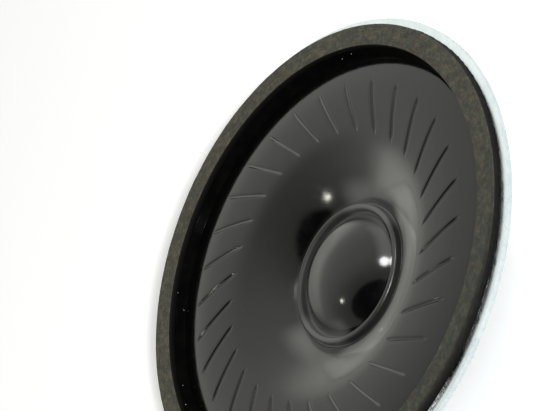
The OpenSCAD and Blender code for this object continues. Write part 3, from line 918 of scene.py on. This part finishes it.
def swirl_angles(r):
    """Angles of the columns at radius r: close together across each groove, wide between."""
    fine = [0.03, 0.06, 0.09, 0.12, 0.15, 0.18, 0.21, 0.25, 0.36]
    wide = 6
    pitch = TAU / GROOVE_COUNT
    out = []
    for i in range(GROOVE_COUNT):
        start = radians(GROOVE_START) + i * pitch + groove_angle(r)
        out += [start + v / r for v in [-v for v in reversed(fine)] + [0.0] + fine]
        left = pitch - 2 * fine[-1] / r
        out += [start + fine[-1] / r + left * k / (wide + 1) for k in range(1, wide + 1)]
    return np.array(out)


def zipped(ring_a, angles_a, ring_b, angles_b):
    """Triangles between two rings with different numbers of points."""
    count_a, count_b = len(ring_a), len(ring_b)
    start = int(np.argmin(np.abs((angles_b - angles_a[0] + pi) % TAU - pi)))
    order = [(start + k) % count_b for k in range(count_b)]
    first = angles_a[0]
    turn_a = [(angles_a[k] - first) % TAU for k in range(count_a)] + [TAU]
    base = (angles_b[start] - first + pi) % TAU - pi
    turn_b = [base + (angles_b[k] - angles_b[start]) % TAU for k in order] + [base + TAU]
    faces, i, j = [], 0, 0
    while i < count_a or j < count_b:
        if j >= count_b or (i < count_a and turn_a[i + 1] <= turn_b[j + 1]):
            faces.append([ring_a[i], ring_a[(i + 1) % count_a], ring_b[order[j % count_b]]])
            i += 1
        else:
            faces.append([ring_a[i % count_a], ring_b[order[(j + 1) % count_b]], ring_b[order[j]]])
            j += 1
    return faces


def lip_and_dome(throat_start):
    """The front line from the trumpet's end over the folded lip and the dome to the axis."""
    rise = DOME_TOP_Z - DOME_Z
    ball_r = (DOME_R ** 2 + rise ** 2) / (2 * rise)
    half = asin(DOME_R / ball_r)
    steps, cut, flat = 30, 3, 0.14
    turns = [half * (1 - k / steps) for k in range(cut, steps + 1)]
    dome = [(ball_r * sin(a), DOME_TOP_Z - ball_r * (1 - cos(a))) for a in turns]
    bend_r = dome[0][0] + (dome[0][1] - MOAT_Z) / tan(turns[0])
    moat = quadratic(dome[0], (bend_r, MOAT_Z), (bend_r + flat, MOAT_Z), 8)[::-1]
    foot_z = LIP_TOP_Z - LIP_ROUND
    half_w = (LIP_OUT_R - LIP_IN_R) / 2
    line = rounded([throat_start, THROAT, (LIP_OUT_R, foot_z)], [0, 0.08, 0], False, 6)
    line += [(LIP_CREST_R + half_w * cos(a), foot_z + LIP_ROUND * sin(a))
             for a in np.linspace(0, pi, 25)[1:]]
    line += rounded([(LIP_IN_R, foot_z), (LIP_IN_R, MOAT_Z), moat[0]], [0, 0.10, 0], False, 6)[1:]
    return [*divided(line + moat[1:], 0.16), *dome[1:]]


def make_film_centre():
    """The part of the film that moves with the coil: grooved annulus, trumpet, lip and dome."""
    cone_r, trumpet_low_r = CONE_EDGE[0], 7.66
    outer = film_line([SEAM_R, 18.98, 18.95, *np.linspace(18.92, cone_r, 62)])
    shares = np.linspace(0, 1, 45)[1:] ** 0.92
    trumpet = film_line(cone_r - (cone_r - trumpet_low_r) * shares)
    front = np.array([*outer, *trumpet, *lip_and_dome(trumpet[-1])[1:]])
    back = beside(front, FILM_T)
    back[-1] = (0, front[-1][1] - FILM_T)
    columns = 300
    verts, faces, seam = [], [], []
    for line in (front, back):
        rings = []
        for i, (r, z) in enumerate(line[:-1]):
            angles = np.arange(columns) * TAU / columns
            rise = np.zeros(columns)
            if i < len(outer):
                own_r = front[i][0]
                angles = swirl_angles(own_r)
                rise = groove_shape(own_r * np.cos(angles), own_r * np.sin(angles))
            rings.append((list(range(len(verts), len(verts) + len(angles))), angles))
            verts += list(zip(r * np.cos(angles), r * np.sin(angles), z + rise))
        pole = len(verts)
        verts.append((0, 0, line[-1][1]))
        for (ring_a, angles_a), (ring_b, angles_b) in zip(rings, rings[1:]):
            if len(ring_a) == len(ring_b):
                faces += ribbon(ring_a, ring_b)
            else:
                faces += zipped(ring_a, angles_a, ring_b, angles_b)
        last = rings[-1][0]
        faces += [[last[k], last[(k + 1) % columns], pole] for k in range(columns)]
        seam.append(rings[0][0])
    faces += ribbon(*seam)
    piece("film_centre", (verts, faces), "film", 60, "diaphragm", "diaphragm_cone")


def make_film_edge():
    """The rest of the film: the flank, left unattached, and the wall and rim, which ride on the
    frame.
    """
    columns, wall_r = 360, 21.84
    crest = film_line(np.linspace(SEAM_R, 21.15, 36))
    fold = rounded([crest[-1], VALLEY, (wall_r + 0.02, FILM_Z - 0.02)], [0, 0.2, 0], False, 8)
    flank = [*crest, fold[1]]
    back = beside([*flank, fold[2]], -FILM_T)[:-1]
    obj = piece("film_flank", turned([*flank, *back[::-1]], columns), "flank", 60,
                None, "diaphragm_surround")
    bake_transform(obj)

    bends = [*fold[1:-1], (wall_r, FILM_Z), (FILM_EDGE_R, FILM_Z)]
    wall = rounded(bends, [0] * (len(bends) - 2) + [0.16, 0], False, 6)
    under = beside(wall, -FILM_T)
    piece("film_rim", turned([*wall, *under[::-1]], columns), "wall", 60,
          "frame", "diaphragm_surround")


# Rim

def make_gasket():
    low = FILM_Z + 0.004
    widest = GASKET_R + GASKET_FLARE
    outline = rounded([(GASKET_IN_R, low), (widest, low), (GASKET_R, FACE_Z), (GASKET_IN_R, FACE_Z)],
                      [0.02, 0.08, 0.13, 0.09])

    def shape(r, z, a):
        """Rough edge and face. The foot stays where it lies on the film."""
        x, y = r * cos(a), r * sin(a)
        up = min(max((z - FILM_Z) / 0.3, 0), 1)
        rough = wobble(x, y, z, 0.45, 3) * 0.012 + wobble(x, y, z, 2.2, 5) * 0.012
        if r > GASKET_IN_R + 0.3:
            r = min(r + rough * 1.5 - 0.012, widest)
        return r, z + (rough - 0.02) * up * 0.5

    fine = divided([*outline, outline[0]], 0.17)[:-1]
    piece("fibre_gasket", turned(fine, 540, shape), "gasket", 50,
          "frame", "front_gasket")


def make_rim_glue():
    """A bead that is squeezed out under the gasket, wider and lumpier along one stretch."""
    foot = GASKET_R + GASKET_FLARE
    widest = 24.61

    def around(a, size, layer):
        return noise.noise(Vector((cos(a) * size, sin(a) * size, layer)))

    def shape(r, z, a):
        out = max(r - foot + 0.1, 0) / 0.36
        low = around(a, 9, 0.3) * 0.5 + around(a, 45, 1.3) * 0.5
        spread = min(max((-sin(a) - 0.25) / 0.35, 0), 1)
        reach = 0.13 * (1 - spread) - 0.10 * spread
        back = out * (0.10 + reach - 0.13 * low - 0.05 * around(a, 110, 2.3))
        drop = max(z - SEAT_Z - 0.05, 0) * (0.35 - 0.6 * low)
        return min(r - back, widest), z - drop

    in_r = FILM_EDGE_R + 0.04
    outline = rounded([(in_r, SEAT_Z), (foot + 0.24, SEAT_Z), (foot + 0.17, SEAT_Z + 0.10),
                       (foot + 0.05, SEAT_Z + 0.17), (foot + 0.02, SEAT_Z + 0.24),
                       (foot - 0.04, FILM_Z), (in_r, FILM_Z - 0.012)],
                      [0, 0.03, 0.06, 0.05, 0.03, 0, 0], steps=4)
    piece("rim_adhesive", turned(outline, 720, shape), "rim", 60, "frame", "rim_glue_bead")


def make_frame():
    """Drawn sheet-steel frame: flange, upright wall, sloping side and a floor with vents."""
    columns, floor_edge, edge, half_t = 288, 15.6, 0.07, SHEET_T / 2
    flange_z, floor_z = FLANGE_Z + half_t, 4.45
    middle = rounded([(FLANGE_R, flange_z), (WALL_MID_R, flange_z), (WALL_MID_R, 8.83),
                      (16.32, floor_z), (floor_edge, floor_z)], [0, 0.58, 0.55, 0.9, 0], False, 8)
    upper, lower = beside(middle, -half_t), beside(middle, half_t)
    low, high, soft = lower[0][1], upper[0][1], edge * 0.3
    rim = [(FLANGE_R - edge, low), (FLANGE_R - soft, low + soft), (FLANGE_R, low + edge),
           (FLANGE_R, high - edge), (FLANGE_R - soft, high - soft), (FLANGE_R - edge, high)]
    outline = [*lower[:0:-1], *rim, *upper[1:]]
    verts, faces = turned(outline, columns)

    # The side is open where the floor joins it
    last = (len(outline) - 1) * columns
    closing = set(range(last, last + columns)) | set(range(columns))
    faces = [f for f in faces if not set(f) <= closing]
    # Five vents, with none at 180 degrees, where the board sits
    vent_w, vent_span, cup_hole_r = 3.2, 34, 8.62
    holes = [arc_slot(VENT_MID_R, vent_w, vent_span, 60 * i) for i in range(6) if i != 3]
    holes.append(oblong(-SLOT_R, SLOT_HALF, SLOT_W))
    holes += [circle(RIVET_X, s * RIVET_Y, HOLE_R, 32) for s in (-1, 1)]
    holes.append(circle(0, 0, cup_hole_r, 144))
    disc = circle(0, 0, floor_edge, columns)
    floor = plate(disc, holes, FLOOR_Z, FLOOR_Z + SHEET_T, 0.06, rim=False)
    piece("frame_shell", joined((verts, faces), floor), "zinc", 30,
          "frame", "basket_frame")


# Motor and coil

def make_motor():
    cup_r, seat_r, bore_r, bottom_t = 8.9, 8.6, 7.35, 1.2
    cup = rounded([(0, 0), (cup_r, 0), (cup_r, FLOOR_Z), (seat_r, FLOOR_Z), (seat_r, CUP_TOP_Z),
                   (bore_r, CUP_TOP_Z), (bore_r, bottom_t), (0, bottom_t)],
                  [0, 0.32, 0.04, 0.05, 0.08, 0.08, 0.25, 0], False)
    piece("magnet_cup", turned(cup, 144), "yoke", 30, "frame", "yoke_cup")

    stakes = []
    stake = rounded(box(8.5, -0.4, 8.85, 0.4), [0, 0.1, 0.1, 0], steps=4)
    for i in range(8):
        c, s = cos(radians(22.5 + 45 * i)), sin(radians(22.5 + 45 * i))
        spun = [(x * c - y * s, x * s + y * c) for x, y in stake]
        stakes.append(plate(spun, [], CUP_TOP_Z - 0.15, CUP_TOP_Z))
    piece("cup_stakes", joined(*stakes), "yoke", 30, "frame", "yoke_cup")

    for name, radius, low, high, bevel, finish, node in (
            ("bond_rear", 6.0, bottom_t, 1.25, 0.012, "glue", "magnet_bond"),
            ("magnet", 6.0, 1.25, 3.65, 0.12, "magnet", "magnet_disc"),
            ("bond_front", 6.0, 3.65, 3.7, 0.012, "glue", "pole_bond"),
            ("pole_plate", 6.42, 3.7, CUP_TOP_Z, 0.10, "yoke", "pole_cap")):
        disc = rounded(box(0, low, radius, high), [0, bevel, bevel, 0], False)
        piece(name, turned(disc, 120), finish, 30, "frame", node)


def make_coil():
    low, top = 2.85, FORMER_TOP_Z
    former = rounded(box(FORMER_IN_R, low, FORMER_R, top), 0.015, steps=2)
    piece("former_tube", turned(former, 144), "former", 30, "diaphragm", "coil_former")

    # One layer of round wire over a plain core that fills the inner layers
    wire, low, high, turns, steps = 0.158, 3.1, 5.5, 15, 60
    in_r, core_r = FORMER_R + 0.002, 6.93
    core = rounded(box(in_r, low + 0.01, core_r, high - 0.01), 0.03, steps=2)
    pitch = (high - low - wire) / turns
    mid_r = COIL_R - wire / 2
    path = [(mid_r * cos(TAU * k / steps), mid_r * sin(TAU * k / steps),
             low + wire / 2 + pitch * k / steps) for k in range(turns * steps + 1)]
    piece("winding_wire", joined(turned(core, 150), tube(path, wire / 2, 8)), "winding", 40,
          "diaphragm", "voice_coil")

    glue = rounded([(in_r, 6.70), (6.82, 6.72), (6.90, 6.90), (6.92, top), (in_r, top)],
                   [0.01, 0.03, 0.05, 0.03, 0.01], steps=3)
    piece("former_glue", turned(glue, 144), "glue", 40, "diaphragm", "coil_glue_ring")


def make_leads():
    """The coil's two wires, glued under the film and led out through the slot in the floor."""
    trumpet = quadratic(CONE_EDGE, TRUMPET_BEND, TRUMPET_END, 10)
    below = beside(trumpet, FILM_T + LEAD_R + 0.03)[2:9][::-1]
    route = [*LEAD_ROUTE, *below, *LEAD_END]
    for side, end in ((1, "start"), (-1, "finish")):
        a = radians(180 - side * LEAD_TURN)
        path = smooth_path([(r * cos(a), r * sin(a), z) for r, z in route])
        obj = piece("lead_" + end, tube(path, LEAD_R, 10), "lead", 50,
                    None, "coil_lead_" + end)
        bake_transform(obj)
    seal = plate(oblong(-SLOT_R, SLOT_HALF - 0.01, SLOT_W - 0.02), [], FLOOR_Z,
                 FLOOR_Z + SHEET_T + 0.15, edge=0.1)
    piece("slot_seal", seal, "seal", 40, "frame", "lead_seal")


# Terminals and cloth

def eyelet_outline(low, high):
    """Section of a tube with a rolled flange at each end, gripping from low to high."""
    bore, r, rim_r, t = 0.55, 0.75, 1.15, 0.2
    return rounded([(bore, low - t), (rim_r, low - t), (rim_r, low), (r, low), (r, high),
                    (rim_r, high), (rim_r, high + t), (bore, high + t)],
                   [0.19, 0.12, 0.05, 0.03, 0.03, 0.05, 0.12, 0.19], steps=4)


def make_terminals():
    """The lug board and what it carries: lugs, eyelets, rivets, solder and the paint dot."""
    board = rounded(box(-20.0, -6, -10.6, 6), 0.35)
    lead, lead_hole_r = radians(LEAD_TURN), 0.45
    bores = ((RIVET_X, RIVET_Y, HOLE_R, 32), (EYELET_X, LUG_Y, HOLE_R, 32),
             (-SLOT_R * cos(lead), SLOT_R * sin(lead), lead_hole_r, 24))
    holes = [circle(x, s * y, r, n) for x, y, r, n in bores for s in (-1, 1)]
    piece("lug_board", plate(board, holes, BOARD_Z, FLOOR_Z, 0.05), "board", 30,
          "frame", "terminal_board")

    half_w, eye_x, eye_r = 1.3, -20.7, 0.65
    outline = union_outline([
        circle(EYELET_X, LUG_Y, 1.75, 64), circle(LUG_END_X, LUG_Y, half_w, 48),
        circle(JOINT_X, JOINT_Y, 0.95, 40),
        box(LUG_END_X, LUG_Y - half_w, EYELET_X, LUG_Y + half_w),
        [(JOINT_X, JOINT_Y - 0.7), (JOINT_X, JOINT_Y + 0.7),
         (EYELET_X, LUG_Y + 1.2), (EYELET_X, LUG_Y - 1.2)]])
    lug_holes = [circle(EYELET_X, LUG_Y, HOLE_R, 32), circle(eye_x, LUG_Y, eye_r, 32)]
    ball = rounded([(0, LUG_Z - 0.55), (0.38, LUG_Z - 0.48), (0.64, LUG_Z - 0.20),
                    (0.84, LUG_Z - 0.02), (0.84, LUG_Z), (0, LUG_Z)], [0, 0.5, 0.4, 0, 0, 0], False)

    def blob(r, z, a):
        x, y = r * cos(a), r * sin(a)
        return r * (1 + 0.05 * wobble(x, y, z, 0.7, 2)) - 0.01, z

    for side, word in ((1, "positive"), (-1, "negative")):
        verts, faces = plate(outline, lug_holes, LUG_Z, BOARD_Z, 0.035)
        lug = [(x, side * y, z) for x, y, z in verts], faces
        piece("lug_" + word, lug, "lug", 30, "frame", "terminal_lug_" + word)
        solder = turned(ball, 48, blob, (JOINT_X, side * JOINT_Y))
        piece("solder_" + word, solder, "solder", 60, "frame", "solder_joint_" + word)

    for name, node, x, y, low, high in (
            ("eyelets", "lug_eyelets", EYELET_X, LUG_Y, LUG_Z, FLOOR_Z),
            ("rivets", "board_rivets", RIVET_X, RIVET_Y, BOARD_Z, FLOOR_Z + SHEET_T)):
        pair = [turned(eyelet_outline(low, high), 48, centre=(x, s * y)) for s in (-1, 1)]
        piece(name, joined(*pair), "eyelet", 40, "frame", node)

    def dab(r, z, a):
        return r * (1 + 0.06 * sin(3 * a + 0.6) - 0.05 * cos(5 * a)) * 0.93, z

    dot = [(0, 3.30), (0.55, 3.302), (0.74, 3.318), (0.8, 3.335), (0.8, BOARD_Z), (0, BOARD_Z)]
    piece("polarity_dot", turned(dot, 48, dab, (-12.4, 2.4)), "mark", 50,
          "frame", "polarity_mark")


def make_cloth():
    """A ring of thin cloth glued behind the vents. It sags a little into each vent."""
    rows, columns = 15, 260
    half = pi - radians(CLOTH_GAP)

    def section(k):
        """Points round the cloth at one angle: outwards along its front, back along its rear."""
        a = -half + 2 * half * k / columns
        front, rear = [], []
        for i in range(rows):
            at_edge = i in (0, rows - 1)
            fray = 0.05 * wobble(cos(a) * 20, sin(a) * 20, i, 1.0, 4) if at_edge else 0
            r = CLOTH_IN_R + (CLOTH_OUT_R - CLOTH_IN_R) * i / (rows - 1)
            r = min(max(r + fray, CLOTH_IN_R + 0.01), CLOTH_OUT_R - 0.01)
            x, y = r * cos(a), r * sin(a)
            off = abs((degrees(a) + 30) % 60 - 30)
            along = max(0.0, 1 - (max(off - 15, 0) / 5) ** 2)
            over = along * max(0.0, 1 - ((r - VENT_MID_R) / 1.7) ** 2)
            low = FLOOR_Z - CLOTH_T + 0.03 + 0.025 * wobble(x, y, 0, 1.3, 1) + 0.05 * over
            front.append((x, y, FLOOR_Z - 0.004))
            rear.append((x, y, low))
        return front + rear[::-1]

    verts, faces = walls([section(k) for k in range(columns + 1)])
    turn = 2 * rows - 1
    for first in (0, len(verts) - 2 * rows):
        faces += [[first + i, first + i + 1, first + turn - i - 1, first + turn - i]
                  for i in range(rows - 1)]
    obj = piece("vent_cloth", (verts, faces), "cloth", 60, "frame", "damping_cloth")


make_camera()
make_world()
make_lamp("lamp_key", 43, 44, 0.5, 0.11, 24)
make_lamp("lamp_low", 37.6, 235.5, 0.0913, 0.0068, 24, (1, 1, 0.85))
make_lamp("lamp_front", 56.2, -8.8, 0.6, 0.032, 1150)
make_floor()
materials = make_materials()
make_film_centre()
make_film_edge()
make_gasket()
make_rim_glue()
make_frame()
make_motor()
make_coil()
make_leads()
make_terminals()
make_cloth()

bpy.context.scene.view_settings.view_transform = "Standard"
